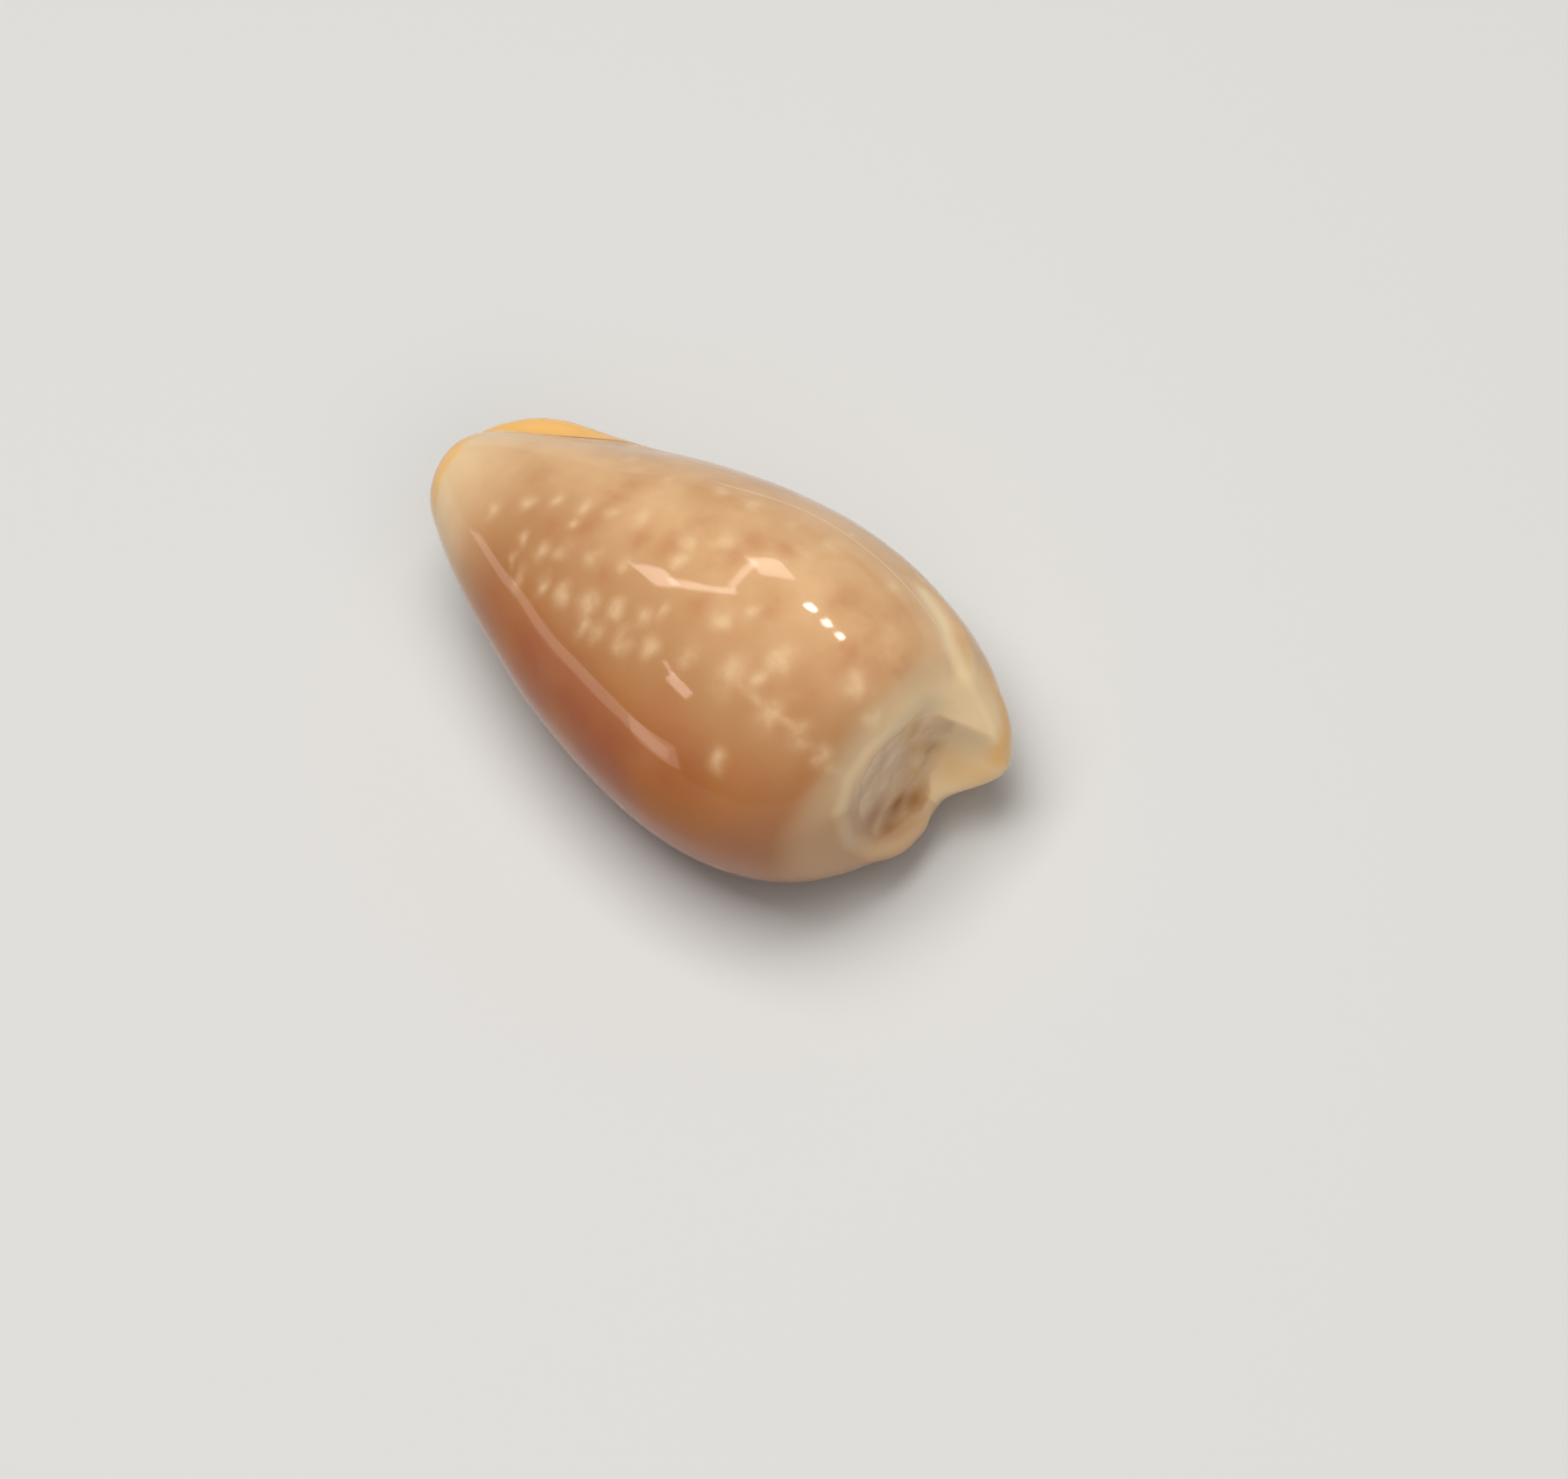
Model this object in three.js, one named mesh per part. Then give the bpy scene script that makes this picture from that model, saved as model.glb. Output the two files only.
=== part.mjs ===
// Shell of a margin snail with a sunken spire, grown as one piece and lying on its aperture.
// Millimetres, +Z up. While it is worked out, x runs along the shell axis from the anterior rim
// toward the spire, y toward the outer lip and z toward the back. Angles are degrees about the
// axis, 0 at the lip side and 90 at the back. The growth angle runs back from the lip edge, over
// the back and round to the parietal wall at 360, which then winds on inside as the columella.

import * as THREE from 'three';

// Whorl outline: [x, half width, rings from here to the next point]
const WHORL = [
  [0, 2.25, 3], [0.9, 2.9, 3], [2.4, 3.78, 4], [4.8, 4.97, 5], [7.5, 6.15, 5], [10.3, 7.25, 4],
  [13.1, 8.05, 3], [15.9, 8.62, 3], [18.6, 8.89, 3], [21.2, 8.76, 3], [23.4, 8.25, 3],
  [25.1, 7.5, 3], [26.3, 6.5, 3], [27.0, 5.3, 2], [27.35, 4.4, 2], [27.35, 3.6, 2],
  [27.1, 2.8, 1], [27.0, 1.4, 1], [27.1, 0, 0],
];
// Places on the outline, counted in its points
const SHOULDER = 10;
const NOTCH = 13;
const CREST = 14.4;
const SPIRE_EDGE = 16.3;
const INNER_SLOPE_POWER = 1.7;
// Over these growth angles the crest of the lip lobe winds in toward the spire, by so many places
const CREST_WINDS = { from: 35, over: 55, places: 0.9 };

// Values along the axis: [x, value]
const AXIS_SHIFT = [[0, 0.05], [6, -0.4], [14, -0.45], [22, -0.65], [26, -0.6], [28, -0.3]];
const LIP_ANGLE = [[0, -84], [4, -74], [9, -61], [14, -56], [20, -56], [25, -60], [27.3, -70]];
const APERTURE = [[0, 2.2], [3, 2.4], [8, 1.9], [13, 1.45], [20, 1.2], [24, 0.9], [27, 0.3]];
const LIP_THICKNESS = [[0, 0.9], [2, 1.25], [5, 1.55], [12, 1.75], [20, 1.75], [25, 1.5], [27, 0.9]];
const LIP_TUCK = [[0, 0.1], [10, 0.3], [20, 0.3], [27, 0.6]];
const VARIX = [
  [0, 0.6], [1.5, 0.95], [3.5, 0.9], [6, 0.5], [8.5, 0.18], [12, 0.05], [20, 0.08], [24, 0.3], [28, 0.7],
];
const CHAMBER_TURN = [[0, 285], [3, 280], [8, 255], [16, 235], [25, 225], [28, 225]];
const CHAMBER_DEPTH = [[0, 2.7], [22, 2.7], [25, 1.7], [27, 0.35]];

// Lip and wall thicknesses shrink in step where the half width is under these
const SMALL_WHORL = 6.5;
const THIN_WHORL = 4;

const WALL = 0.95;
const BACK_FLATTENING = 0.93;

// The thick outer lip: growth angles over which it thins to the wall and loses its tuck, and the
// angle of its back edge
const LIP_THINS = { from: 15, over: 45 };
const TUCK_FADES = 38;
const VARIX_EDGE = { from: 22, over: 16 };

// Anterior end: rounded rim, recessed at its middle, and the part where the wall stays open
const RIM_LENGTH = 0.6;
const RIM_RECESS = { depth: 0.35, length: 4 };
const OPEN_ANTERIOR = 7;

// Chamber behind the aperture: growth angles over which it deepens, narrows to its blind end and
// meets the parietal wall
const CHAMBER_DEEPENS = 95;
const CHAMBER_NARROWS = 60;
const CHAMBER_END_GAP = 0.35;
const COLUMELLA_JOIN = 90;

// The parietal wall falls inward from this growth angle
const FALL_FROM = 185;
const FALL_POWER = 2.1;

// Posterior edge above the spire: outer lip lobe, parietal lobe and the notch between them
const LIP_LOBE = { height: 2.7, at: 41, fall: 90, flare: 0.27 };
const PARIETAL_LOBE = { height: 1.0, at: -42, width: 30, start: 20 };
const NOTCH_FLOOR = { height: 0.9, width: 25 };

// Behind the notch the lip sinks into the body whorl over these growth angles and outline places
const LIP_JOIN = { from: 335, over: 25, places: 1.5 };

// Columellar folds: [x, height]
const FOLDS = [[2.3, 0.34], [4.3, 0.42], [6.5, 0.45], [8.9, 0.4]];
const FOLD_WIDTH = 0.42;
const FOLD_SLANT = 0.016;
const FOLD_REACH = { before: 22, from: 60, over: 50 };

// The shell rests on flat spots at this height below the axis
const REST = -6.9;

// Points round a section: along the chamber, on the parietal wall, at its blind end and lip edge
const CHAMBER_STEPS = 18;
const PARIETAL_STEPS = 12;
const END_STEPS = 1;
const EDGE_STEPS = 4;

function ease(t) {
  const c = Math.min(Math.max(t, 0), 1);
  return c * c * (3 - 2 * c);
}

// Smooth curve through a short table of [x, value]
function along(table, x) {
  const last = table.length - 1;
  if (x <= table[0][0]) return table[0][1];
  if (x >= table[last][0]) return table[last][1];
  const i = table.findIndex((row, k) => k < last && x < table[k + 1][0]);
  const slope = (a, b) => (table[b][1] - table[a][1]) / (table[b][0] - table[a][0]);
  const span = table[i + 1][0] - table[i][0];
  const t = (x - table[i][0]) / span;
  const start = slope(Math.max(i - 1, 0), i + 1) * span;
  const end = slope(i, Math.min(i + 2, last)) * span;
  const rise = t * t * (3 - 2 * t);
  return table[i][1] * (1 - rise) + table[i + 1][1] * rise
    + start * t * (1 - t) ** 2 - end * t * t * (1 - t);
}

// Stations along the whorl outline, each with its place, x and half width
function stations() {
  const outline = new THREE.SplineCurve(WHORL.map(([x, half]) => new THREE.Vector2(x, half)));
  const last = WHORL.length - 1;
  const list = [];
  WHORL.forEach(([, , rings], i) => {
    for (let k = 0; k < rings; k += 1) {
      const place = i + k / rings;
      const point = outline.getPoint(place / last);
      list.push({ place, x: point.x, half: point.y });
    }
  });
  return list;
}

function lipLobe(growth) {
  if (growth > 180) return 0;
  if (growth < LIP_LOBE.at) return LIP_LOBE.height * ease(growth / LIP_LOBE.at);
  return LIP_LOBE.height * (1 - ease((growth - LIP_LOBE.at) / LIP_LOBE.fall));
}

// Rise of the posterior edge above the spire at a growth angle
function posteriorRise(growth) {
  const near = growth > 180 ? growth - 360 : growth;
  const bell = (middle, width) => Math.exp(-(((near - middle) / width) ** 2));
  const parietal = near < 0 ? PARIETAL_LOBE.height * ease(-near / PARIETAL_LOBE.start) : 0;
  return lipLobe(growth) + parietal * bell(PARIETAL_LOBE.at, PARIETAL_LOBE.width)
    + NOTCH_FLOOR.height * bell(0, NOTCH_FLOOR.width);
}

// Everything about one station that the points of its section share
function sectionAt({ place, x, half }) {
  const small = Math.min(1, half / SMALL_WHORL);
  const thin = Math.min(1, half / THIN_WHORL);
  const aperture = along(APERTURE, x);
  const lip = along(LIP_THICKNESS, x);
  return {
    place,
    x,
    half,
    small,
    thin,
    aperture,
    lip,
    depth: Math.max(aperture, along(CHAMBER_DEPTH, x)),
    lipAngle: along(LIP_ANGLE, x),
    shift: along(AXIS_SHIFT, x),
    varix: along(VARIX, x),
    tuck: along(LIP_TUCK, x) * thin,
    turn: along(CHAMBER_TURN, x),
    fall: (lip + aperture) * small,
    closing: ease((place - NOTCH) / LIP_JOIN.places),
    open: ease(x / OPEN_ANTERIOR),
    rim: Math.sqrt(1 - (1 - Math.min(x / RIM_LENGTH, 1)) ** 2),
  };
}

// How much of the posterior lobes shows at this station
function lobes(s, growth) {
  const winds = growth > 180 ? 0 : ease((growth - CREST_WINDS.from) / CREST_WINDS.over);
  const crest = CREST + CREST_WINDS.places * winds;
  const rise = ease((s.place - SHOULDER) / (crest - SHOULDER));
  const inward = Math.min(Math.max((s.place - crest) / (SPIRE_EDGE - crest), 0), 1);
  return rise * (1 - inward ** INNER_SLOPE_POWER);
}

// Radius of the outer surface
function outerRadius(s, growth) {
  const angle = s.lipAngle + growth;
  const varix = s.varix * (1 - ease((angle - VARIX_EDGE.from) / VARIX_EDGE.over)) * (1 - s.closing);
  const tuck = s.tuck * (1 - ease(growth / TUCK_FADES)) ** 2;
  const flare = LIP_LOBE.flare * lipLobe(growth) * lobes(s, growth);
  const fallen = Math.max(0, (growth - FALL_FROM) / (360 - FALL_FROM)) ** FALL_POWER;
  return s.half + varix + flare - tuck - s.fall * fallen * (1 - s.closing);
}

function wallThickness(s, growth) {
  const thins = ease((growth - LIP_THINS.from) / LIP_THINS.over);
  return s.thin * (WALL + (s.lip - WALL) * (1 - thins));
}

// Slanting folds low on the columella
function foldHeight(s, growth) {
  const past = growth - 360;
  const begins = ease(1 + past / FOLD_REACH.before);
  const ends = ease((past - FOLD_REACH.from) / FOLD_REACH.over);
  const total = FOLDS.reduce((sum, [x, height]) => {
    const away = (s.x - x - FOLD_SLANT * past) / FOLD_WIDTH;
    return sum + height * Math.exp(-(away ** 2));
  }, 0);
  return total * begins * (1 - ends);
}

// Point of the section at a radius and growth angle, with the growth angle that lifts it
function sectionPoint(s, radius, growth, lift = growth) {
  const angle = THREE.MathUtils.degToRad(s.lipAngle + growth);
  const across = radius * Math.cos(angle);
  const up = radius * Math.sin(angle);
  return { y: across + s.shift, z: up > 0 ? up * BACK_FLATTENING : up, lift };
}

// Half circle from a to b without its ends, bulging to the left (1) or right (-1)
function halfCircle(a, b, steps, side) {
  const middle = { y: (a.y + b.y) / 2, z: (a.z + b.z) / 2 };
  const reach = { y: (b.y - a.y) / 2, z: (b.z - a.z) / 2 };
  return Array.from({ length: steps - 1 }, (unused, k) => {
    const turn = Math.PI * (k + 1) / steps;
    const forward = -Math.cos(turn);
    const sideways = Math.sin(turn) * side;
    return {
      y: middle.y + forward * reach.y - sideways * reach.z,
      z: middle.z + forward * reach.z + sideways * reach.y,
      lift: a.lift,
    };
  });
}

function toVector(s, point) {
  const beside = (point.y - s.shift) / Math.max(s.half, 1);
  const recess = RIM_RECESS.depth * beside * beside * (1 - ease(s.x / RIM_RECESS.length));
  const x = s.x + recess + lobes(s, point.lift) * posteriorRise(point.lift);
  return new THREE.Vector3(x, point.y, Math.max(point.z, REST));
}

// Growth angles over the chamber, then on to the parietal wall at 360
function growthSteps(s) {
  const chamberStep = s.turn / CHAMBER_STEPS;
  const wallStep = (360 - s.turn) / PARIETAL_STEPS;
  const chamber = Array.from({ length: CHAMBER_STEPS + 1 }, (unused, k) => chamberStep * k);
  const parietal = Array.from({ length: PARIETAL_STEPS }, (unused, k) => s.turn + wallStep * (k + 1));
  return { chamber, parietal };
}

// Section in front of the notch: outer wall, parietal wall, columella, chamber, inner wall, lip edge
function openSection(station) {
  const s = sectionAt(station);
  const { chamber, parietal } = growthSteps(s);
  const outer = chamber.map((growth) => {
    const inset = wallThickness(s, growth) / 2 * (1 - s.rim);
    return sectionPoint(s, outerRadius(s, growth) - inset, growth);
  });
  const inner = chamber.map((growth) => {
    const inset = wallThickness(s, growth) / 2 * (1 + s.rim);
    return sectionPoint(s, outerRadius(s, growth) - inset, growth);
  });
  const wall = parietal.map((growth) => (
    sectionPoint(s, outerRadius(s, growth) + foldHeight(s, growth), growth)
  ));
  const columellaRadius = (growth) => {
    const hollow = s.aperture + (s.depth - s.aperture) * ease(growth / CHAMBER_DEEPENS);
    const kept = ease((s.turn - growth) / CHAMBER_NARROWS);
    const gap = CHAMBER_END_GAP + (hollow - CHAMBER_END_GAP) * kept;
    return outerRadius(s, growth) - wallThickness(s, growth) - gap * s.small;
  };
  const join = outerRadius(s, 360) - columellaRadius(0);
  const columella = chamber.slice(1).map((growth) => {
    const joined = join * (1 - ease(growth / COLUMELLA_JOIN));
    const radius = columellaRadius(growth) + joined + foldHeight(s, 360 + growth);
    return sectionPoint(s, Math.max(radius, CHAMBER_END_GAP), growth);
  });
  const blindEnd = halfCircle(columella.at(-1), inner.at(-1), END_STEPS + 1, 1);
  const core = [...wall, ...columella, ...blindEnd];
  const margin = halfCircle(outer.at(-1), inner.at(-1), core.length + 1, -1);
  const opened = core.map((point, k) => ({
    y: margin[k].y + (point.y - margin[k].y) * s.open,
    z: margin[k].z + (point.z - margin[k].z) * s.open,
    lift: point.lift,
  }));
  const edge = halfCircle(inner[0], outer[0], EDGE_STEPS, -1);
  const loop = [...outer, ...opened, ...inner.reverse(), ...edge];
  return loop.map((point) => toVector(s, point));
}

// Section behind the notch, where the lip has joined the body whorl round the spire
function closedSection(station) {
  const s = sectionAt(station);
  const { chamber, parietal } = growthSteps(s);
  const step = outerRadius(s, 360) - outerRadius(s, 0);
  return [...chamber, ...parietal.slice(0, -1)].map((growth) => {
    const joined = step * ease((growth - LIP_JOIN.from) / LIP_JOIN.over);
    return toVector(s, sectionPoint(s, outerRadius(s, growth) - joined, growth));
  });
}

// Collects points and triangles
class Skin {
  constructor() {
    this.points = [];
    this.triangles = [];
  }

  add(points) {
    const start = this.points.length;
    this.points.push(...points);
    return points.map((unused, k) => start + k);
  }

  triangle(a, b, c) {
    if (a !== b && b !== c && c !== a) this.triangles.push(a, b, c);
  }

  quad(a, b, c, d) {
    this.triangle(a, b, c);
    this.triangle(a, c, d);
  }

  loft(from, to) {
    from.forEach((point, k) => {
      const next = (k + 1) % from.length;
      this.quad(point, from[next], to[next], to[k]);
    });
  }

  fan(centre, rim) {
    for (let k = 0; k < rim.length - 1; k += 1) this.triangle(centre, rim[k], rim[k + 1]);
  }

  geometry() {
    const positions = this.points.flatMap((point) => point.toArray());
    const geometry = new THREE.BufferGeometry();
    geometry.setAttribute('position', new THREE.Float32BufferAttribute(positions, 3));
    geometry.setIndex(this.triangles);
    return geometry;
  }
}

function shellGeometry() {
  const skin = new Skin();
  const list = stations();
  const openStations = list.filter(({ place }) => place <= NOTCH);
  const closedStations = list.filter(({ place }) => place > NOTCH);
  const parietalEnd = CHAMBER_STEPS + PARIETAL_STEPS;
  const coreEnd = parietalEnd + CHAMBER_STEPS + END_STEPS;
  const innerStart = coreEnd + 1 + CHAMBER_STEPS;

  // On the anterior rim the outer and inner walls meet in one line
  const rimSection = openSection(openStations[0]);
  const rimPoints = skin.add(rimSection.slice(0, CHAMBER_STEPS + 1));
  let section = rimSection.map((unused, k) => {
    if (k <= CHAMBER_STEPS) return rimPoints[k];
    if (k <= coreEnd) return rimPoints[CHAMBER_STEPS];
    return rimPoints[Math.max(innerStart - k, 0)];
  });
  openStations.slice(1).forEach((station) => {
    const next = skin.add(openSection(station));
    skin.loft(section, next);
    section = next;
  });

  // The notch: the lip joins the body whorl and the chamber ends in a blind wall
  let ring = skin.add(closedSection(closedStations[0]));
  const aroundRing = (k) => ring[k % ring.length];
  for (let k = 0; k < parietalEnd; k += 1) {
    skin.quad(section[k], section[k + 1], aroundRing(k + 1), ring[k]);
  }
  skin.triangle(section[parietalEnd], section[0], ring[0]);
  for (let k = 0; k < CHAMBER_STEPS; k += 1) {
    const columella = parietalEnd + k;
    const inner = innerStart - k;
    skin.quad(section[columella], section[columella + 1], section[inner - 1], section[inner]);
  }
  const columellaEnd = parietalEnd + CHAMBER_STEPS;
  skin.fan(section[columellaEnd], section.slice(columellaEnd + 1, innerStart - CHAMBER_STEPS + 1));
  skin.fan(section[parietalEnd], [...section.slice(innerStart), section[0]]);

  closedStations.slice(1).forEach((station) => {
    const next = skin.add(closedSection(station));
    skin.loft(ring, next);
    ring = next;
  });
  const [spireX] = WHORL.at(-1);
  const [spire] = skin.add([new THREE.Vector3(spireX, along(AXIS_SHIFT, spireX), 0)]);
  skin.fan(spire, [...ring, ring[0]]);
  return skin.geometry();
}

function makeShell() {
  const geometry = shellGeometry();
  const material = new THREE.MeshStandardMaterial({ color: 0xc99a68, roughness: 0.15, metalness: 0 });
  const shell = new THREE.Mesh(geometry, material);
  shell.name = 'shell';
  return shell;
}

// The origin is the middle of the shell's length and width, at the height that it rests on
function placeOnFloor(mesh) {
  mesh.geometry.computeBoundingBox();
  const middle = mesh.geometry.boundingBox.getCenter(new THREE.Vector3());
  mesh.position.set(-middle.x, -middle.y, -REST);
}

const shell = makeShell();
placeOnFloor(shell);

const part = new THREE.Group();
part.add(shell);

export default part;
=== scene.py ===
"""Glossy shell of a margin snail on a pale floor, seen from its back and its spire end.

The shell is one skin, swept station by station along its axis. Its own sizes are in millimetres
and degrees, and everything given to Blender is in metres. While the skin is worked out, x runs
along the shell axis from the anterior rim toward the spire, y toward the outer lip and z toward
the back. The growth angle runs back from the lip edge, over the back and round to the parietal
wall at 360, which then winds on inside as the columella.
"""

import math
from types import SimpleNamespace

import bpy
import numpy as np
from mathutils import Matrix, Vector, noise
from mathutils.bvhtree import BVHTree


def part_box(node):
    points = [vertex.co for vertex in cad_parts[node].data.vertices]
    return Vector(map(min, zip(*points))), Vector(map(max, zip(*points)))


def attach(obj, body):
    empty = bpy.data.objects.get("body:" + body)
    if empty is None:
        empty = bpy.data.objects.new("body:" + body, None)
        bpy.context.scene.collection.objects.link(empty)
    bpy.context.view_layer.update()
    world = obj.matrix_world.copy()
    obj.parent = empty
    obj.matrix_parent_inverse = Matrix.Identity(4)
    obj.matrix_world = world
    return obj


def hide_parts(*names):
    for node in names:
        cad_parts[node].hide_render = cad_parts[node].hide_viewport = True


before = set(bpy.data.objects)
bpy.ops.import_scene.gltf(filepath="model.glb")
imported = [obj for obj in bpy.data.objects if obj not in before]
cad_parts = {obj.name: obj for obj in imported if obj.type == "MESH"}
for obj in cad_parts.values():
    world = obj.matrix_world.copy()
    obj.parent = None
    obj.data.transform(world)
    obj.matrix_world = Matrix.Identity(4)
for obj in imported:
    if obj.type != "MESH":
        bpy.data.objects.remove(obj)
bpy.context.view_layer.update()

MM = 0.001

# Whorl outline: x, half width, and rings from here to the next point. The disc of the sunken
# spire, at its end, is up to 0.3 mm flatter than the solid's, so that no step shows in the glaze.
WHORL = (
    (0, 2.25, 3), (0.9, 2.9, 3), (2.4, 3.78, 4), (4.8, 4.97, 5), (7.5, 6.15, 5), (10.3, 7.25, 4),
    (13.1, 8.05, 3), (15.9, 8.62, 3), (18.6, 8.89, 3), (21.2, 8.76, 3), (23.4, 8.25, 3),
    (25.1, 7.5, 3), (26.3, 6.5, 3), (27.0, 5.3, 2), (27.35, 4.4, 2), (27.35, 3.6, 2),
    (27.31, 2.8, 1), (27.29, 1.4, 1), (27.3, 0, 0),
)
# Rings here for each ring of the solid
FINER = 4

# Places on the outline, counted in its points. Between the crest and the spire the lobes fall off
# in a slope with a soft foot.
SHOULDER = 10
NOTCH = 13
CREST = 14.4
SPIRE_EDGE = 16.3
INNER_SLOPE_POWER = 1.7
SLOPE_FOOT = 0.12
# Over these growth angles the crest of the lip lobe winds in toward the spire, by so many places
CREST_WINDS = SimpleNamespace(start=35, over=55, places=0.9)

# Growth angles below this belong to the outer lip's side of the whorl
LIP_SIDE = 180

# Values along the axis: x and value
AXIS_SHIFT = ((0, 0.05), (6, -0.4), (14, -0.45), (22, -0.65), (26, -0.6), (28, -0.3))
LIP_ANGLE = ((0, -84), (4, -74), (9, -61), (14, -56), (20, -56), (25, -60), (27.3, -70))
APERTURE = ((0, 2.2), (3, 2.4), (8, 1.9), (13, 1.45), (20, 1.2), (24, 0.9), (27, 0.3))
LIP_THICKNESS = ((0, 0.9), (2, 1.25), (5, 1.55), (12, 1.75), (20, 1.75), (25, 1.5), (27, 0.9))
LIP_TUCK = ((0, 0.1), (10, 0.3), (20, 0.3), (27, 0.6))
VARIX = (
    (0, 0.6), (1.5, 0.95), (3.5, 0.9), (6, 0.5), (8.5, 0.18), (12, 0.05), (20, 0.08), (24, 0.3), (28, 0.7),
)
CHAMBER_TURN = ((0, 285), (3, 280), (8, 255), (16, 235), (25, 225), (28, 225))
CHAMBER_DEPTH = ((0, 2.7), (22, 2.7), (25, 1.7), (27, 0.35))

# Lip and wall thicknesses shrink in step where the half width is under these
SMALL_WHORL = 6.5
THIN_WHORL = 4

WALL = 0.95
BACK_FLATTENING = 0.93

# The thick outer lip: growth angles over which it thins and loses its tuck, and its back edge
LIP_THINS = (15, 45)
TUCK_FADES = 38
VARIX_EDGE = (22, 16)

# Anterior end: rounded rim, recessed at its middle, and the part where the wall stays open
RIM_LENGTH = 0.6
RIM_RECESS_DEPTH = 0.35
RIM_RECESS_LENGTH = 4
OPEN_ANTERIOR = 7

# Chamber behind the aperture
CHAMBER_DEEPENS = 95
CHAMBER_NARROWS = 60
CHAMBER_END_GAP = 0.35
COLUMELLA_JOIN = 90

# The parietal wall falls inward from this growth angle
FALL_FROM = 185
FALL_POWER = 2.1

# Posterior edge above the spire: outer lip lobe, parietal lobe and the notch between them
LIP_LOBE = SimpleNamespace(height=2.7, at=41, fall=90, flare=0.27)
PARIETAL_LOBE = SimpleNamespace(height=1.0, at=-42, width=30, start=20)
NOTCH_FLOOR = SimpleNamespace(height=0.9, width=25)
LIP_JOIN = SimpleNamespace(start=335, over=25, places=1.5)

# Columellar folds: x and height
FOLDS = ((2.3, 0.34), (4.3, 0.42), (6.5, 0.45), (8.9, 0.4))
FOLD_WIDTH = 0.42
FOLD_SLANT = 0.016
FOLD_REACH = SimpleNamespace(before=22, start=60, over=50)

# The shell rests at this height below the axis
REST = -6.9

# Points round a section
CHAMBER_STEPS = 145
PARIETAL_STEPS = 60
END_STEPS = 3
EDGE_STEPS = 14
# Where the parts of an open section end, counted in its points: the parietal wall, the columella,
# the chamber's blind end and the inner wall
PARIETAL_END = CHAMBER_STEPS + PARIETAL_STEPS
COLUMELLA_END = PARIETAL_END + CHAMBER_STEPS
CORE_END = COLUMELLA_END + END_STEPS
INNER_END = CORE_END + 1 + CHAMBER_STEPS

# The photograph: its size, its scale, and the turned shell's axis in it
PHOTO_SIZE = (1794, 1692)
PIXELS_PER_MM = 24.5
AXIS_SLOPE = 33.25
AXIS_TILT = 21
BACK_ROLL = 22
MIDDLE_X = 16.12
MIDDLE_PIXEL = (821.1, 738.7)
CAMERA_DISTANCE = 600
SENSOR_WIDTH = 36
CLIP_START = 0.01
CLIP_END = 10

# Cream spots seen in the photograph: pixel, and radius in pixels
SPOTS = (
    (565, 582, 8), (600, 579, 9), (637, 572, 7), (667, 581, 8), (700, 585, 8), (735, 592, 9),
    (600, 615, 7), (622, 628, 9), (642, 631, 8), (680, 637, 9), (712, 647, 7),
    (596, 660, 8), (620, 670, 8), (646, 678, 11), (673, 688, 12), (705, 698, 10), (735, 707, 9),
    (667, 714, 8), (683, 721, 9), (712, 733, 12), (741, 741, 10), (785, 750, 12), (834, 772, 17),
    (892, 757, 16), (882, 817, 15), (915, 842, 11), (940, 864, 10), (980, 783, 11), (868, 775, 10),
    (826, 712, 10), (787, 622, 8), (828, 618, 9), (950, 625, 9), (720, 526, 7), (765, 549, 8),
    (825, 561, 8), (861, 577, 8), (820, 868, 10), (998, 820, 10), (972, 610, 7), (905, 600, 7),
    (775, 640, 8), (655, 600, 6), (585, 640, 6), (760, 700, 8), (860, 700, 8), (1020, 670, 8),
)
# Darker reddish brown patches: pixel, and radius in pixels
BLOTCHES = (
    (718, 553, 17), (700, 570, 17), (684, 586, 15), (668, 602, 13), (615, 552, 14), (650, 657, 14),
    (835, 635, 19), (860, 622, 15), (905, 628, 16), (627, 765, 20), (735, 868, 24), (760, 800, 22),
    (910, 795, 20), (1003, 720, 20), (1006, 755, 20), (965, 745, 18), (905, 862, 8), (918, 890, 18),
    (765, 622, 14), (800, 600, 14), (880, 690, 16), (1030, 770, 16), (850, 890, 20), (800, 690, 14),
    (690, 660, 10), (660, 700, 10), (960, 690, 16), (780, 840, 16), (630, 605, 10), (730, 620, 12),
)
# How much longer the spots are round the whorl than along it, and how far spots and patches
# spread past their radii
SPOT_STRETCH = 1.3
SPOT_SPREAD = 1.3
BLOTCH_SPREAD = 1.5

# Painted edges wander this far, in waves of this length, in millimetres. The seed fixes them.
PAINT_WOBBLE = 0.3
PAINT_WOBBLE_SIZE = 0.8
PAINT_WOBBLE_SEED = 3

# Lines drawn through pixels of the photograph
LIP_BAND = ((1058, 680), (1078, 712), (1086, 740), (1100, 768), (1116, 795), (1128, 818), (1138, 850))
SPIRE_RING = ((962, 925), (972, 890), (995, 858), (1020, 836), (1045, 820), (1072, 808), (1098, 808))
LOWER_CALLUS = ((962, 935), (972, 962), (1000, 975), (1030, 965), (1052, 948), (1062, 930))
ANTERIOR_RIM = ((523, 513), (506, 538), (498, 567), (499, 600))
LOBE_EDGE = (
    (1131, 771), (1139, 784), (1146, 799), (1150, 813), (1152, 828), (1151, 842), (1148, 855), (1142, 868),
)
INNER_SLOPE = ((1078, 862), (1098, 880), (1120, 884))
PALE_STREAK = ((835, 775), (882, 817), (915, 842), (942, 866), (962, 884))
# Cream and orange bands: the line, its half width in millimetres, and how much it covers
CREAM_BANDS = ((LIP_BAND, 0.6, 0.95), (SPIRE_RING, 0.8, 0.8), (LOWER_CALLUS, 0.8, 0.5))
ORANGE_BANDS = ((ANTERIOR_RIM, 0.3, 0.8), (LOBE_EDGE, 0.62, 0.75), (INNER_SLOPE, 0.8, 0.35))
STREAK_WIDTH = 0.28
STREAK_COVER = 0.6

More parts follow.
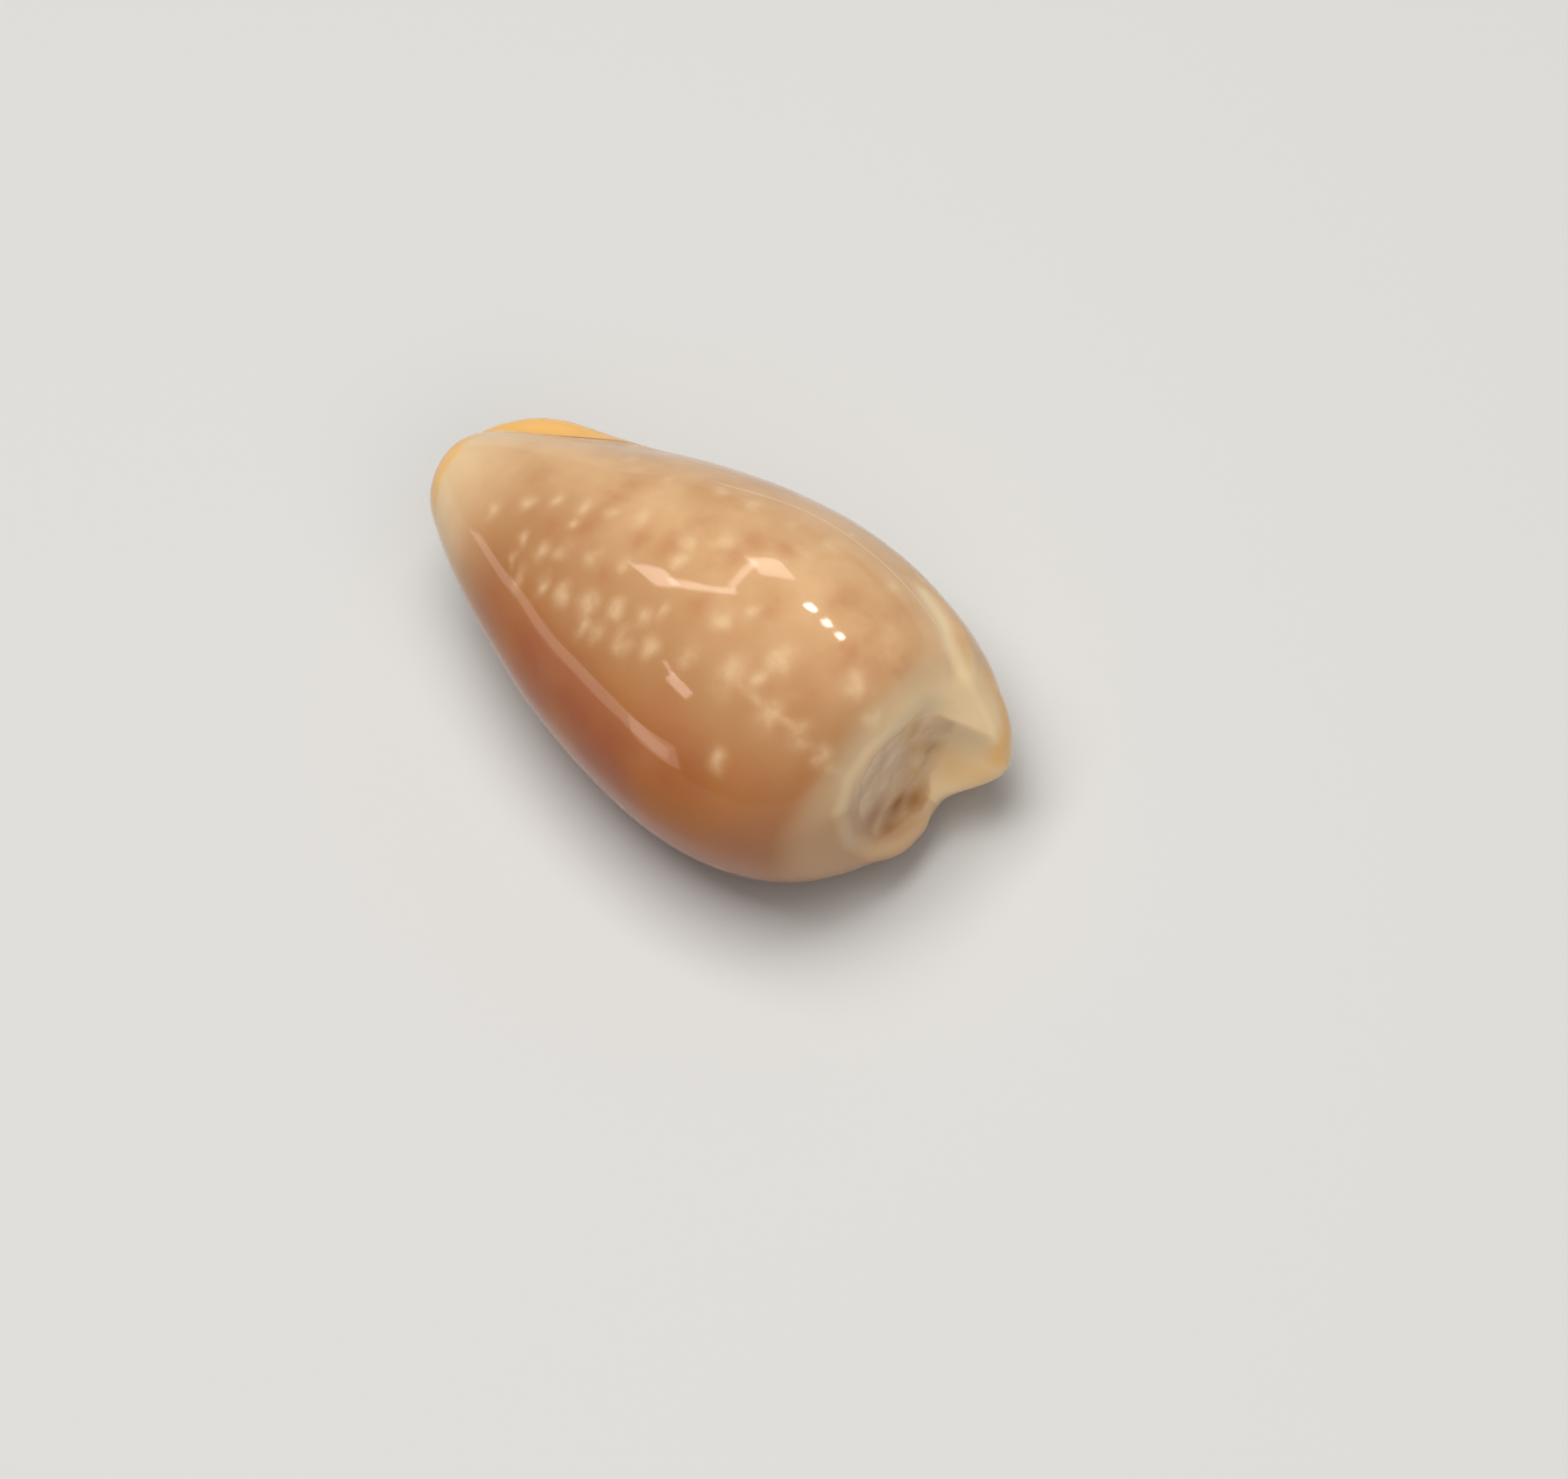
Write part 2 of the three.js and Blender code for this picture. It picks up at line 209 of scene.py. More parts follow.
# The early whorls under the glaze: their outline, the spots of their rosy lower part, and the
# brown tip, all in pixels. In millimetres: the gap between the rounds of the pale spiral that winds
# out from the tip, partly the whorls' own and partly painted glints, the softness of the outline,
# and from where along the axis they show.
SPIRE_PATCH = (
    (983, 930), (985, 895), (998, 868), (1018, 847), (1047, 826), (1075, 819), (1091, 827), (1079, 843),
    (1066, 862), (1062, 885), (1064, 905), (1052, 927), (1028, 944), (1004, 959), (988, 950),
)
ROSY_SPIRE = ((998, 935, 26), (1016, 948, 20), (1046, 915, 18), (1066, 856, 8))
SPIRE_TIP = (1026, 921)
TIP_RADIUS = 14
SPIRE_TURN_GAP = 1.5
TURN_AND_GLINT_WIDTH = 0.2
PATCH_EDGE = 0.3
PATCH_FROM = 26.3
ORANGE_UNDER_PATCH = 0.2

# Cream and orange of the lip and the callus. A pair is the x or the growth angle from which a
# colour comes or goes, and the reach over which it does. A cover is its greatest amount.
VARIX_COVER = 0.12
ANTERIOR_CREAM = SimpleNamespace(goes=(0, 5.5), cover=0.72)
UNDER_CREAM = SimpleNamespace(comes=(265, 60), cover=0.4)
CHAMBER_CREAM = 0.8
LIP_EDGE_ORANGE = SimpleNamespace(goes=(4, 22), cover=0.75)
RIM_ORANGE = SimpleNamespace(goes=(0.3, 0.8), cover=0.8)
# The callus round the spire starts sooner along the axis on the parietal side, and is weaker there
CALLUS = SimpleNamespace(comes=(25.9, 1.6), cover=0.75, sooner=0.7, weaker=0.62, regained=0.6)
PARIETAL_SIDE = (185, 50)
NOTCH_SIDE = (320, 35)

# Brown and amber of the lower side, partly the shell's own deeper colour and partly painted shade
# of the side turned from the light: where round the whorl and along the axis they come. Toward
# the spire the amber goes by a part.
BROWN_AND_SHADE_SIDE = SimpleNamespace(round_whorl=(125, 55), along_axis=(1, 7))
AMBER_AND_SHADE_SIDE = SimpleNamespace(round_whorl=(175, 38), along_axis=(1.5, 9), goes=(19, 7.5), part=0.6)

# Colour edge of the anterior lip strip, with a painted shadow of the crease beside it, and a painted
# highlight, a pale line along the varix: x and angle. A reach is from where to where along the axis,
# and over what it fades.
STRIP_EDGE = ((0, 33), (1, 35), (3, 37), (5, 33), (6.5, 28), (8, 20), (12, -12), (18, -38), (27, -60))
STRIP_FADES = (24, 2)
# Painted shadow of the crease beside the lip strip
CREASE_SHADOW_REACH = (1.5, 7.8, 1.2)
# Painted highlight: a pale line along the varix
LIP_HIGHLIGHT_LINE = ((12, 55), (14, 52), (17.5, 45), (21.6, 42), (25.4, 39), (27, 38))
LIP_HIGHLIGHT_REACH = (12.5, 25, 1.5)

# Angles past those edges: the softness of the strip's edge, the stretch over which the strip goes
# pale and by how much, and the middle and half width of the painted crease shadow and the painted
# highlight line
STRIP_SOFTNESS = 0.4
STRIP_PALES = SimpleNamespace(start=-45, end=-4, part=0.85)
CREASE_SHADOW = (0.9, 0.6)
HIGHLIGHT_LINE = (0, 0.45)

# Rows of spots on the sides that the photograph doesn't show: the x and growth angles between
# which they lie, gaps and radii in millimetres, and how irregular the rows are
HIDDEN_SEED = 7
HIDDEN_ROWS = (2.5, 24)
HIDDEN_TURN = (10, 300)
HIDDEN_ROW_GAP = 1.7
HIDDEN_SPOT_GAP = 1.9
HIDDEN_SPOT_RADIUS = (0.22, 0.5)
HIDDEN_ROW_SHIFT = 0.35
HIDDEN_GAP_SHIFT = 0.2
# Spots that face the camera by more than this are left out
HIDDEN_FACING = 0.2
# Weights in the search for the skin point nearest to a spot: a degree, and being in the chamber
DEGREE_AWAY = 0.1
CHAMBER_AWAY = 100

# Colours, as linear red, green and blue
TAN = (0.68, 0.42, 0.215)
DARK_TAN = (0.58, 0.33, 0.155)
GROWTH_LINE = (0.72, 0.43, 0.21)
PALE_TAN = (0.74, 0.50, 0.29)
# Brown and amber of the lower side, partly painted shade
BROWN_AND_SHADE = (0.40, 0.19, 0.075)
AMBER_AND_SHADE = (0.39, 0.105, 0.006)
RED_AMBER_AND_SHADE = (0.33, 0.07, 0.012)
RED_BROWN = (0.42, 0.155, 0.06)
SPOT_CREAM = (0.80, 0.58, 0.34)
CREAM = (0.80, 0.61, 0.36)
ORANGE = (0.78, 0.42, 0.11)
STRIP_ORANGE = (0.82, 0.46, 0.14)
STRIP_CREAM = (0.80, 0.56, 0.30)
# Painted shadow of the crease beside the lip strip
CREASE_SHADOW_BROWN = (0.30, 0.15, 0.06)
# Painted highlight along the varix
HIGHLIGHT_CREAM = (0.82, 0.62, 0.42)
SPIRE_GREY = (0.60, 0.39, 0.21)
PALE_SPIRE_GREY = (0.72, 0.49, 0.29)
# Pale spiral of the spire, partly painted glints
TURN_AND_GLINT_CREAM = (0.80, 0.60, 0.42)
ROSY = (0.40, 0.19, 0.07)
TIP_BROWN = (0.33, 0.11, 0.02)
FLOOR_COLOUR = (0.60, 0.59, 0.57)
WARM_PINK = (1.0, 0.84, 0.76)
WHITE = (1, 1, 1)

# How much the masked colours cover
COVER = SimpleNamespace(
    growth_lines=0.14, pale_tan=0.25, brown=0.85, amber=0.92, blotches=0.45, spots=0.52,
    seam=0.75, line=0.5, turns=0.5,
)

# Noise: scale, detail, roughness, and the values that are spread to 0 and 1
CLOUDS = (260, 3, 0.55, 0.35, 0.65)
GROWTH_LINES = (0.9, 4, 0.7, 0.35, 0.7)
MOTTLING = (420, 2, 0.55, 0.5, 0.7)
AMBER_CLOUDS = (180, 2, 0.55, 0.4, 0.62)
BLOTCH_GRAIN = (500, 3, 0.55, 0.3, 0.6)
SPOT_GRAIN = (800, 3, 0.55, 0.3, 0.55)
SPIRE_CLOUDS = (600, 2, 0.55, 0.35, 0.65)
RIPPLES = (1.0, 2, 0.55, 0, 1)
FAINTEST_SPOT = 0.35
# How the growth angle and x are scaled before the noise, so that it runs in lines across the whorl
LINE_STRETCH = (1, 0.12, 1)
RIPPLE_STRETCH = (0.35, 0.12, 1)

# Surface of the shell: how far red, green and blue light spreads in it, and the ripples' height
GLOSS = SimpleNamespace(roughness=0.07, ior=1.36)
GLOW = SimpleNamespace(weight=0.12, spread=(0.8, 0.4, 0.2))
RIPPLE = SimpleNamespace(strength=0.07, height=0.05)

FLOOR_SIZE = 2.0
FLOOR_ROUGHNESS = 0.9
WORLD_LIGHT = 0.1

# Studio lights: what they face, and for each one its compass direction and height, how far it
# stands, its length and width, how far it is rolled, and its power. Soft ones make no mirror
# image, and the mirrored ones, which stand for the bright things round the real shell, only that.
SHELL_MIDDLE = Vector((0, 0, 0.008))
SOFT_LIGHTS = (
    ("key", 188, 82, 0.5, (0.35, 0.35), 0, 2.7),
    ("fill", -30, 55, 0.6, (0.5, 0.5), 0, 1.3),
)
MIRRORED_LIGHTS = (
    ("window end", 172, 48, 0.5, (0.07, 0.06), -29, 0.13),
    ("window strip", 157, 55, 0.5, (0.17, 0.026), -23, 0.14),
    ("window post", 131, 48, 0.5, (0.18, 0.022), 54, 0.1),
    ("window pane", 118, 40, 0.5, (0.1, 0.08), 30, 0.2),
    ("left lamp", 96, 51, 0.5, (0.04, 0.035), -19, 0.2),
    ("middle lamp", 83, 52, 0.5, (0.03, 0.035), -14, 0.15),
    ("right lamp", 73, 51, 0.5, (0.03, 0.035), 2, 0.15),
    ("crescent tip", -132, 44, 0.5, (0.06, 0.014), 3, 0.02),
    ("crescent", -123, 43, 0.5, (0.085, 0.05), 11, 0.12),
    ("low strip", -134, 3, 0.45, (0.44, 0.07), 5, 0.28),
    ("low middle", -113, 4, 0.45, (0.14, 0.1), 20, 0.13),
)


def ease(t):
    c = np.clip(t, 0, 1)
    return c * c * (3 - 2 * c)


def comes(value, reach):
    """0 up to the start of a reach, rising to 1 over its length."""
    start, over = reach
    return ease((value - start) / over)


def goes(value, reach):
    return 1 - comes(value, reach)


def bell(distance, width):
    return np.exp(-((distance / width) ** 2))


def along(table, x):
    """Smooth curve through a short table of x and value."""
    last = len(table) - 1
    if x <= table[0][0]:
        return table[0][1]
    if x >= table[last][0]:
        return table[last][1]
    i = next(k for k in range(last) if x < table[k + 1][0])

    def slope(a, b):
        return (table[b][1] - table[a][1]) / (table[b][0] - table[a][0])

    span = table[i + 1][0] - table[i][0]
    t = (x - table[i][0]) / span
    start = slope(max(i - 1, 0), i + 1) * span
    end = slope(i, min(i + 2, last)) * span
    rise = t * t * (3 - 2 * t)
    ends = table[i][1] * (1 - rise) + table[i + 1][1] * rise
    return ends + start * t * (1 - t) ** 2 - end * t * t * (1 - t)


def all_along(table, xs):
    return np.array([along(table, x) for x in xs])


def outline_point(place):
    """Smooth curve through the points of the whorl outline."""
    last = len(WHORL) - 1
    i = min(int(place), last - 1)
    t = place - i
    near = [np.array(WHORL[min(max(k, 0), last)][:2], float) for k in (i - 1, i, i + 1, i + 2)]
    leave = (near[2] - near[0]) / 2
    arrive = (near[3] - near[1]) / 2
    ends = near[1] + (near[2] - near[1]) * t * t * (3 - 2 * t)
    return ends + leave * t * (1 - t) ** 2 - arrive * t * t * (1 - t)


def stations():
    """Place, x and half width of each ring along the outline."""
    found = []
    for i, (_, _, rings) in enumerate(WHORL):
        count = rings * FINER
        for k in range(count):
            place = i + k / count
            x, half = outline_point(place)
            found.append((place, x, half))
    return found


def lip_lobe(growth):
    rising = ease(growth / LIP_LOBE.at)
    falling = 1 - ease((growth - LIP_LOBE.at) / LIP_LOBE.fall)
    lobe = LIP_LOBE.height * np.where(growth < LIP_LOBE.at, rising, falling)
    return np.where(growth > LIP_SIDE, 0, lobe)


def posterior_rise(growth):
    """Rise of the posterior edge above the spire."""
    near = np.where(growth > LIP_SIDE, growth - 360, growth)
    parietal = PARIETAL_LOBE.height * ease(-near / PARIETAL_LOBE.start)
    floor = NOTCH_FLOOR.height * bell(near, NOTCH_FLOOR.width)
    return lip_lobe(growth) + parietal * bell(near - PARIETAL_LOBE.at, PARIETAL_LOBE.width) + floor


def section_at(place, x, half):
    """Everything about one station that the points of its section share."""
    small = min(1, half / SMALL_WHORL)
    thin = min(1, half / THIN_WHORL)
    aperture = along(APERTURE, x)
    lip = along(LIP_THICKNESS, x)
    return SimpleNamespace(
        place=place,
        x=x,
        half=half,
        small=small,
        thin=thin,
        aperture=aperture,
        lip=lip,
        depth=max(aperture, along(CHAMBER_DEPTH, x)),
        lip_angle=along(LIP_ANGLE, x),
        shift=along(AXIS_SHIFT, x),
        varix=along(VARIX, x),
        tuck=along(LIP_TUCK, x) * thin,
        turn=along(CHAMBER_TURN, x),
        fall=(lip + aperture) * small,
        closing=ease((place - NOTCH) / LIP_JOIN.places),
        open=ease(x / OPEN_ANTERIOR),
        rim=math.sqrt(1 - (1 - min(x / RIM_LENGTH, 1)) ** 2),
    )


def lobes(s, growth):
    """How much of the posterior lobes shows at this station."""
    winds = np.where(growth > LIP_SIDE, 0, comes(growth, (CREST_WINDS.start, CREST_WINDS.over)))
    crest = CREST + CREST_WINDS.places * winds
    rise = ease((s.place - SHOULDER) / (crest - SHOULDER))
    inward = np.clip((s.place - crest) / (SPIRE_EDGE - crest), 0, 1)
    slope = 1 - inward**INNER_SLOPE_POWER
    return rise * slope * slope * (1 + SLOPE_FOOT) / (slope + SLOPE_FOOT)


def outer_radius(s, growth):
    angle = s.lip_angle + growth
    varix = s.varix * goes(angle, VARIX_EDGE) * (1 - s.closing)
    tuck = s.tuck * (1 - ease(growth / TUCK_FADES)) ** 2
    flare = LIP_LOBE.flare * lip_lobe(growth) * lobes(s, growth)
    fallen = np.maximum(0, (growth - FALL_FROM) / (360 - FALL_FROM)) ** FALL_POWER
    return s.half + varix + flare - tuck - s.fall * fallen * (1 - s.closing)


def wall_thickness(s, growth):
    return s.thin * (WALL + (s.lip - WALL) * goes(growth, LIP_THINS))


def fold_height(s, growth):
    """Slanting folds low on the columella."""
    past = growth - 360
    begins = ease(1 + past / FOLD_REACH.before)
    ends = ease((past - FOLD_REACH.start) / FOLD_REACH.over)
    total = sum(height * bell(s.x - x - FOLD_SLANT * past, FOLD_WIDTH) for x, height in FOLDS)
    return total * begins * (1 - ends)


def polar(s, radius, growth):
    """Points of a section, each with y, z and the growth angle that lifts it."""
    angle = np.radians(s.lip_angle + growth)
    up = radius * np.sin(angle)
    return np.column_stack((
        radius * np.cos(angle) + s.shift,
        np.where(up > 0, up * BACK_FLATTENING, up),
        growth,
    ))


def half_circle(a, b, steps, side):
    """Points between a and b on a half circle that bulges to the left (1) or the right (-1)."""
    turn = np.pi * np.arange(1, steps) / steps
    middle = (a[:2] + b[:2]) / 2
    reach = (b[:2] - a[:2]) / 2
    forward = -np.cos(turn)
    sideways = np.sin(turn) * side
    return np.column_stack((
        middle[0] + forward * reach[0] - sideways * reach[1],
        middle[1] + forward * reach[1] + sideways * reach[0],
        np.full(steps - 1, a[2]),
    ))


def lifted(s, points):
    """Section points moved along the axis to their places, with the station's x and the growth."""
    y, z, growth = points.T
    beside = (y - s.shift) / max(s.half, 1)
    recess = RIM_RECESS_DEPTH * beside**2 * (1 - ease(s.x / RIM_RECESS_LENGTH))
    x = s.x + recess + lobes(s, growth) * posterior_rise(growth)
    return np.column_stack((x, y, np.maximum(z, REST), np.full(len(x), s.x), growth))


def growth_steps(s):
    chamber = np.linspace(0, s.turn, CHAMBER_STEPS + 1)
    parietal = np.linspace(s.turn, 360, PARIETAL_STEPS + 1)[1:]
    return chamber, parietal


def open_section(station):
    """Outer wall, parietal wall, columella, chamber, inner wall and lip edge."""
    s = section_at(*station)
    chamber, parietal = growth_steps(s)
    radius = outer_radius(s, chamber)
    thick = wall_thickness(s, chamber)
    outer = polar(s, radius - thick / 2 * (1 - s.rim), chamber)
    inner = polar(s, radius - thick / 2 * (1 + s.rim), chamber)
    wall = polar(s, outer_radius(s, parietal) + fold_height(s, parietal), parietal)

    hollow = s.aperture + (s.depth - s.aperture) * ease(chamber / CHAMBER_DEEPENS)
    kept = ease((s.turn - chamber) / CHAMBER_NARROWS)
    gap = CHAMBER_END_GAP + (hollow - CHAMBER_END_GAP) * kept
    within = radius - thick - gap * s.small
    join = outer_radius(s, np.array(360.0)) - within[0]
    within = within + join * (1 - ease(chamber / COLUMELLA_JOIN)) + fold_height(s, 360 + chamber)
    columella = polar(s, np.maximum(within, CHAMBER_END_GAP), chamber)[1:]

    blind_end = half_circle(columella[-1], inner[-1], END_STEPS + 1, 1)
    core = np.vstack((wall, columella, blind_end))
    margin = half_circle(outer[-1], inner[-1], len(core) + 1, -1)
    core[:, :2] = margin[:, :2] + (core[:, :2] - margin[:, :2]) * s.open
    edge = half_circle(inner[0], outer[0], EDGE_STEPS, -1)
    within = lifted(s, np.vstack((outer, core, inner[::-1], edge)))
    layer = np.concatenate((
        np.zeros(len(outer) + len(wall)),
        np.ones(len(columella) + len(blind_end) + len(inner)),
        1 - np.arange(1, EDGE_STEPS) / EDGE_STEPS,
    ))
    return np.column_stack((within, layer))


def closed_section(station):
    """Section behind the notch, where the lip has joined the body whorl round the spire."""
    s = section_at(*station)
    chamber, parietal = growth_steps(s)
    growth = np.concatenate((chamber, parietal[:-1]))
    radius = outer_radius(s, growth)
    step = outer_radius(s, np.array(360.0)) - outer_radius(s, np.array(0.0))
    joined = step * ease((growth - LIP_JOIN.start) / LIP_JOIN.over)
    ring = lifted(s, polar(s, radius - joined, growth))
    return np.column_stack((ring, np.zeros(len(ring))))


class Skin:
    """Collects points and faces."""

    def __init__(self):
        self.points = []
        self.faces = []
        self.count = 0

    def add(self, points):
        start = self.count
        self.points.append(points)
        self.count += len(points)
        return list(range(start, self.count))

    def face(self, *corners):
        kept = [c for k, c in enumerate(corners) if c != corners[k - 1]]
        if len(kept) > 2:
            self.faces.append(kept)

    def loft(self, lower, upper):
        for k, corner in enumerate(lower):
            after = (k + 1) % len(lower)
            self.face(corner, lower[after], upper[after], upper[k])

    def fan(self, centre, rim):
        for a, b in zip(rim, rim[1:]):
            self.face(centre, a, b)


def anterior_rim(skin, station):
    """First section, where the outer and inner walls meet in one line."""
    points = open_section(station)
    rim = skin.add(points[: CHAMBER_STEPS + 1])
    section = rim + [rim[CHAMBER_STEPS]] * (CORE_END - CHAMBER_STEPS)
    section += rim[::-1]
    return section + [rim[0]] * (len(points) - len(section))


def close_notch(skin, section, ring):
    """Join the lip to the body whorl behind the last open section, and close the chamber there."""
    around = ring + ring[:1]
    for k in range(PARIETAL_END):
        skin.face(section[k], section[k + 1], around[k + 1], around[k])
    skin.face(section[PARIETAL_END], section[0], ring[0])
    for k in range(CHAMBER_STEPS):
        columella = PARIETAL_END + k
        inner = INNER_END - k
        skin.face(section[columella], section[columella + 1], section[inner - 1], section[inner])
    blind_end = section[COLUMELLA_END + 1 : INNER_END - CHAMBER_STEPS + 1]
    skin.fan(section[COLUMELLA_END], blind_end)
    skin.fan(section[PARIETAL_END], section[INNER_END:] + section[:1])


def swept_skin():
    """Points and faces of the whole skin, from the anterior rim to the middle of the spire."""
    skin = Skin()
    found = stations()
    open_stations = [s for s in found if s[0] <= NOTCH]
    closed_stations = [s for s in found if s[0] > NOTCH]

    section = anterior_rim(skin, open_stations[0])
    for station in open_stations[1:]:
        following = skin.add(open_section(station))
        skin.loft(section, following)
        section = following

    ring = skin.add(closed_section(closed_stations[0]))
    close_notch(skin, section, ring)
    for station in closed_stations[1:]:
        following = skin.add(closed_section(station))
        skin.loft(ring, following)
        ring = following

    spire_x = WHORL[-1][0]
    tip = skin.add(np.array([[spire_x, along(AXIS_SHIFT, spire_x), 0.0, spire_x, 0.0, 0.0]]))
    skin.fan(tip[0], ring + ring[:1])
    return np.vstack(skin.points), skin.faces


def model_offset(points):
    """Move from the shell's own axes to the frame, where the CAD solid has the same box."""
    low, high = (np.array(corner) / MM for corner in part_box("shell"))
    middle = (points.min(0) + points.max(0)) / 2
    wanted = (low + high) / 2
    return np.array((wanted[0] - middle[0], wanted[1] - middle[1], low[2] - REST))


def camera_axes():
    """The camera's right, up and back directions in the frame, as rows."""
    tilt = math.radians(AXIS_TILT)
    slope = math.radians(AXIS_SLOPE)
    roll = math.radians(BACK_ROLL)
    spire = Vector((math.cos(tilt) * math.cos(slope), -math.cos(tilt) * math.sin(slope), math.sin(tilt)))
    lower_left = Vector((-math.sin(slope), -math.cos(slope), 0))
    toward = lower_left.cross(spire)
    lip = -math.cos(roll) * lower_left - math.sin(roll) * toward
    back = -math.sin(roll) * lower_left + math.cos(roll) * toward
    return Matrix((spire, lip, back)).transposed()


def camera_place(offset):
    """Camera position in metres, aimed so that the shell's middle falls on its pixel."""
    right, up, back = camera_axes()
    middle = Vector(((MIDDLE_X, 0, 0) + offset) * MM)
    across = (MIDDLE_PIXEL[0] - PHOTO_SIZE[0] / 2) / PIXELS_PER_MM * MM
    down = (MIDDLE_PIXEL[1] - PHOTO_SIZE[1] / 2) / PIXELS_PER_MM * MM
    aim = middle - across * right + down * up
    return aim + CAMERA_DISTANCE * MM * back


def make_camera(offset):
    data = bpy.data.cameras.new("camera")
    data.sensor_width = SENSOR_WIDTH
    data.lens = SENSOR_WIDTH * CAMERA_DISTANCE * PIXELS_PER_MM / PHOTO_SIZE[0]
    data.clip_start = CLIP_START
    data.clip_end = CLIP_END
    camera = bpy.data.objects.new("camera", data)
    camera.matrix_world = Matrix.Translation(camera_place(offset)) @ camera_axes().transposed().to_4x4()
    bpy.context.collection.objects.link(camera)
    bpy.context.scene.camera = camera


def wobbled(points):
    """Points moved a little by smooth noise, so that painted edges are irregular."""
    noise.seed_set(PAINT_WOBBLE_SEED)
    shifts = [noise.noise_vector(Vector(point) / PAINT_WOBBLE_SIZE) for point in points]
    return points + PAINT_WOBBLE * np.array(shifts)


def seen_through(pixel, tree, offset):
    """Place on the shell that shows at a pixel of the photograph, in millimetres."""
    right, up, back = camera_axes()
    reach = CAMERA_DISTANCE * PIXELS_PER_MM
    across = (pixel[0] - PHOTO_SIZE[0] / 2) / reach
    rise = (PHOTO_SIZE[1] / 2 - pixel[1]) / reach
    ray = across * right + rise * up - back
    place, _, _, _ = tree.ray_cast(camera_place(offset) / MM, ray.normalized())
    return np.array(place)


def soft_spot(points, place, radius):
    """1 in the middle of a soft spot, which is longer round the whorl than along it."""
    step = (points - place) * (SPOT_STRETCH, 1, 1)
    return bell(np.linalg.norm(step, axis=1), radius)


def near_spots(points, spots, tree, offset, spread=1):
    """How far inside any of the soft spots each point is, 0 to 1."""
    mask = np.zeros(len(points))
    for x, y, radius in spots:
        place = seen_through((x, y), tree, offset)
        reach = spread * radius / PIXELS_PER_MM
        mask = np.maximum(mask, soft_spot(points, place, reach))
    return mask


def fades(station_x, reach):
    """1 between two places along the axis, with soft ends."""
    start, end, over = reach
    return ease((station_x - start) / over) * (1 - ease((station_x - end) / over))


def near_path(points, pixels, width, tree, offset):
    """How near each point is to a line drawn through pixels, 1 on the line."""
    places = [seen_through(pixel, tree, offset) for pixel in pixels]
    away = np.full(len(points), np.inf)
    for a, b in zip(places, places[1:]):
        step = b - a
        t = np.clip((points - a) @ step / (step @ step), 0, 1)
        away = np.minimum(away, np.linalg.norm(points - a - t[:, None] * step, axis=1))
    return bell(away, width)


def drawn_bands(points, bands, tree, offset):
    """How much of a colour the bands drawn through pixels give each point."""
    cover = np.zeros(len(points))
    for pixels, width, most in bands:
        cover = np.maximum(cover, most * near_path(points, pixels, width, tree, offset))
    return cover


def hidden_spots(points, station_x, growth, layer):
    """Rows of spots where the camera doesn't look, as places and radii in millimetres."""
    draw = np.random.default_rng(HIDDEN_SEED)
    view = np.array(camera_axes()[2])
    middle = points.mean(0)
    half_widths = [(x, half) for x, half, _ in WHORL]
    first, last = HIDDEN_TURN
    found = []
    for x in np.arange(*HIDDEN_ROWS, HIDDEN_ROW_GAP):
        gap = math.degrees(HIDDEN_SPOT_GAP / along(half_widths, x))
        for angle in np.arange(draw.uniform(first, first + gap), last, gap):
            row = x + draw.normal(0, HIDDEN_ROW_SHIFT)
            turn = angle + draw.normal(0, gap * HIDDEN_GAP_SHIFT)
            radius = draw.uniform(*HIDDEN_SPOT_RADIUS)
            away = np.abs(station_x - row) + np.abs(growth - turn) * DEGREE_AWAY + layer * CHAMBER_AWAY
            place = points[away.argmin()]
            outward = place - middle
            outward[0] = 0
            if outward @ view / np.linalg.norm(outward) < HIDDEN_FACING:
                found.append((place, radius))
    return found


def lip_colours(points, station_x, growth, outside, tree, offset):
    """Cream on the outer lip's varix and the callus round the spire, orange on its turned edge."""
    angle = growth + all_along(LIP_ANGLE, station_x)
    on_varix = goes(angle, VARIX_EDGE) * (growth < LIP_SIDE)
    parietal = comes(growth, PARIETAL_SIDE)
    callus = comes(station_x + CALLUS.sooner * parietal, CALLUS.comes)
    kept = 1 - CALLUS.weaker * parietal * (1 - CALLUS.regained * comes(growth, NOTCH_SIDE))
    cream = np.maximum.reduce((
        drawn_bands(points, CREAM_BANDS, tree, offset),
        VARIX_COVER * on_varix,
        ANTERIOR_CREAM.cover * goes(station_x, ANTERIOR_CREAM.goes),
        CALLUS.cover * callus * kept,
        UNDER_CREAM.cover * comes(growth, UNDER_CREAM.comes),
    ))
    orange = np.maximum.reduce((
        drawn_bands(points, ORANGE_BANDS, tree, offset),
        LIP_EDGE_ORANGE.cover * goes(growth, LIP_EDGE_ORANGE.goes) * outside * (1 - callus),
        RIM_ORANGE.cover * goes(station_x, RIM_ORANGE.goes),
    ))
    return np.maximum(cream * outside, CHAMBER_CREAM * (1 - outside)), orange


def lower_side(station_x, growth, side):
    """Where a colour of the lower side lies, round the whorl and along the axis. It is partly painted shade.
    """
    return comes(growth, side.round_whorl) * comes(station_x, side.along_axis)


def inside_outline(points, outline):
    """Distance of flat points from a closed outline, above 0 inside it."""
    away = np.full(len(points), np.inf)
    inside = np.zeros(len(points), bool)
    for a, b in zip(outline, np.roll(outline, 1, axis=0)):
        step = b - a
        t = np.clip((points - a) @ step / (step @ step), 0, 1)
        away = np.minimum(away, np.linalg.norm(points - a - t[:, None] * step, axis=1))
        between = (a[1] > points[:, 1]) != (b[1] > points[:, 1])
        level = a[0] + (points[:, 1] - a[1]) * step[0] / step[1]
        inside ^= between & (points[:, 0] < level)
    return np.where(inside, away, -away)


